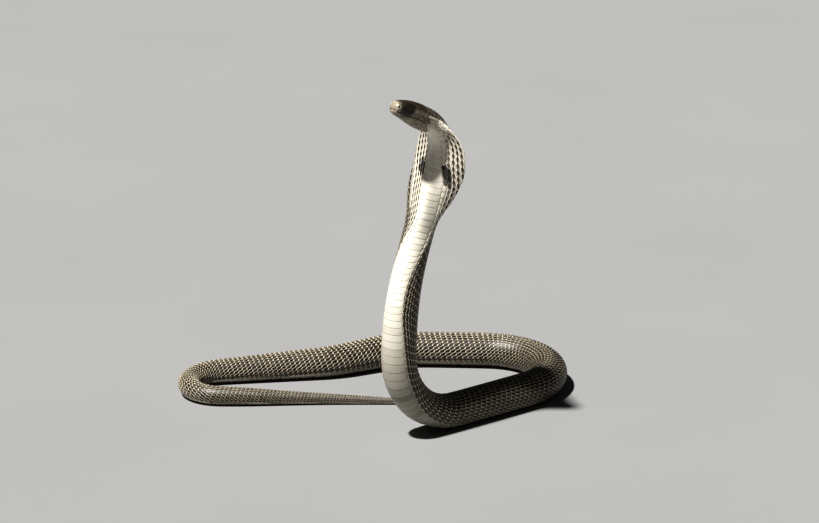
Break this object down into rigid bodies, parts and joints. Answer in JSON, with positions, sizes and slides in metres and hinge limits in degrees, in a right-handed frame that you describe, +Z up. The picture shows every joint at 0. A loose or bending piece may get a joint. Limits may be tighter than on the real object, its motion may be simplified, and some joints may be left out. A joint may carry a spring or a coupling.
{
  "type": "cobra model",
  "caption": "Life-size still model of a cobra: forebody raised with the hood spread, the rest of the body in a loop on the floor.",
  "frame": {"origin": "middle of the bounding box, on the floor that the belly rests on", "axes": "+Z up; +X along the longest extent, from the left bend to the right bend; the snake faces 218 degrees round from +X, to the front left"},
  "size_m": [0.41, 0.2704, 0.357],
  "materials": {
    "scales": "satin",
    "head": "satin",
    "eye": "gloss"
  },
  "bodies": {
    "root": {"head": "head", "lower_jaw": "head", "eye_left": "eye", "eye_right": "eye", "hood": "scales", "forebody_raised": "scales", "forebody_foot": "scales", "body_near": "scales", "body_right_bend_front": "scales", "body_right_bend_back": "scales", "body_far": "scales", "body_rear": "scales", "body_left_bend_back": "scales", "body_left_bend_front": "scales", "tail": "scales"}
  },
  "joints": []
}
